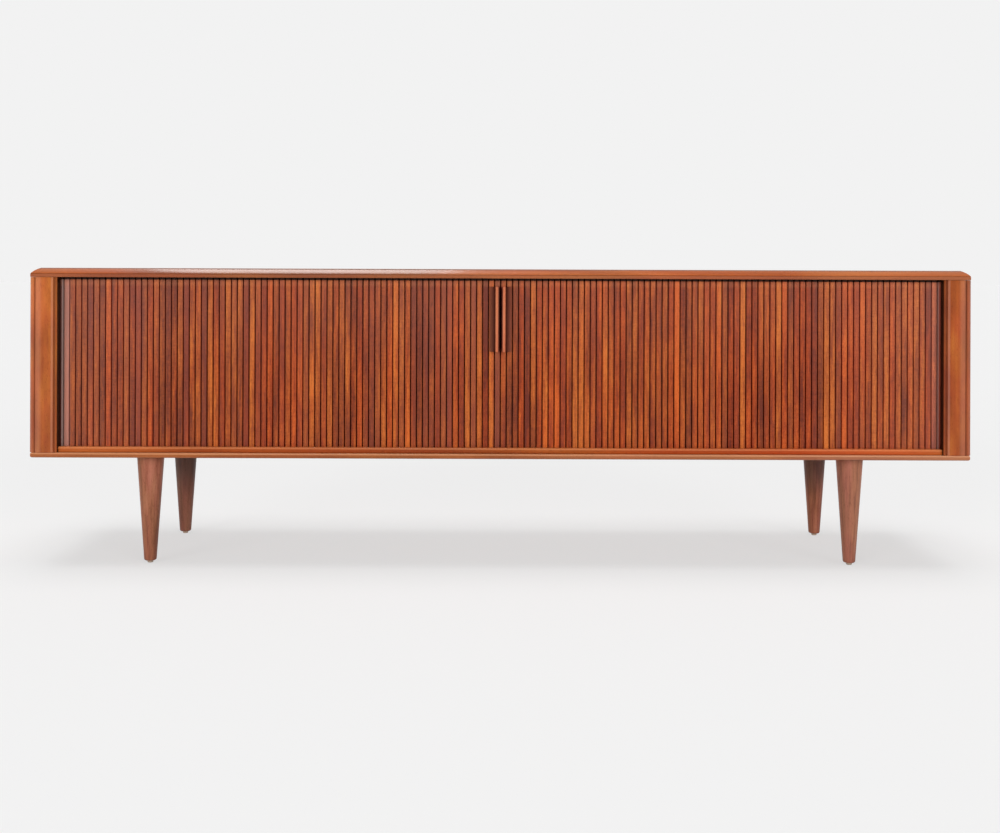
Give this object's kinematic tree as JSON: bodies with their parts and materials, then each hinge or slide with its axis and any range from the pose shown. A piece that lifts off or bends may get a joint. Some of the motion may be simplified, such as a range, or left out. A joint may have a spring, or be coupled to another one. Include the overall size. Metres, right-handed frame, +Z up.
{
  "type": "tambour door cabinet",
  "caption": "Long low wooden cabinet on turned tapered legs, with slatted tambour doors that slide apart round the front corners into side tracks.",
  "frame": {"origin": "on the floor, under the middle of the case", "axes": "+X along the length, towards the right-hand end as seen from the front; +Y from the front to the back; +Z up"},
  "size_m": [2.1, 0.46, 0.6715],
  "materials": {
    "case_wood": "satin lacquered red-brown teak",
    "slat_wood": "satin lacquered teak slats of mixed tones",
    "handle_wood": "satin lacquered teak",
    "leg_wood": "oiled brown teak",
    "inner_wood": "matt oiled teak veneer",
    "steel": "zinc plated",
    "brass": "plain turned brass",
    "glide_plastic": "tan hard plastic"
  },
  "bodies": {
    "case": {"top_panel": "case_wood", "bottom_panel": "case_wood", "front_rail": "case_wood", "left_front_post": "case_wood", "right_front_post": "case_wood", "left_side_panel": "case_wood", "right_side_panel": "case_wood", "back_panel": "inner_wood", "left_lining_panel": "inner_wood", "right_lining_panel": "inner_wood", "inner_back_panel": "inner_wood", "left_divider": "inner_wood", "right_divider": "inner_wood", "left_shelf": "inner_wood", "left_shelf_pin_1": "brass", "left_shelf_pin_2": "brass", "left_shelf_pin_3": "brass", "left_shelf_pin_4": "brass", "centre_shelf": "inner_wood", "centre_shelf_pin_1": "brass", "centre_shelf_pin_2": "brass", "centre_shelf_pin_3": "brass", "centre_shelf_pin_4": "brass", "right_shelf": "inner_wood", "right_shelf_pin_1": "brass", "right_shelf_pin_2": "brass", "right_shelf_pin_3": "brass", "right_shelf_pin_4": "brass", "front_left_leg": "leg_wood", "front_left_glide": "glide_plastic", "front_left_leg_plate": "steel", "front_left_leg_bolt": "steel", "front_right_leg": "leg_wood", "front_right_glide": "glide_plastic", "front_right_leg_plate": "steel", "front_right_leg_bolt": "steel", "rear_left_leg": "leg_wood", "rear_left_glide": "glide_plastic", "rear_left_leg_plate": "steel", "rear_left_leg_bolt": "steel", "rear_right_leg": "leg_wood", "rear_right_glide": "glide_plastic", "rear_right_leg_plate": "steel", "rear_right_leg_bolt": "steel", "left_door_stop": "inner_wood", "right_door_stop": "inner_wood"},
    "left_door": {"left_meeting_slat": "slat_wood", "left_lead_slats": "slat_wood", "left_tambour_curtain": "slat_wood", "left_handle": "handle_wood", "left_handle_screw_1": "steel", "left_handle_screw_2": "steel"},
    "right_door": {"right_meeting_slat": "slat_wood", "right_lead_slats": "slat_wood", "right_tambour_curtain": "slat_wood", "right_handle": "handle_wood", "right_handle_screw_1": "steel", "right_handle_screw_2": "steel"}
  },
  "joints": [
    {"name": "left_door_slide", "type": "slide", "parent": "case", "child": "left_door", "axis": [-1, 0, 0], "range_m": [0, 0.914], "deforming": ["left_tambour_curtain"]},
    {"name": "right_door_slide", "type": "slide", "parent": "case", "child": "right_door", "axis": [1, 0, 0], "range_m": [0, 0.914], "deforming": ["right_tambour_curtain"]}
  ]
}
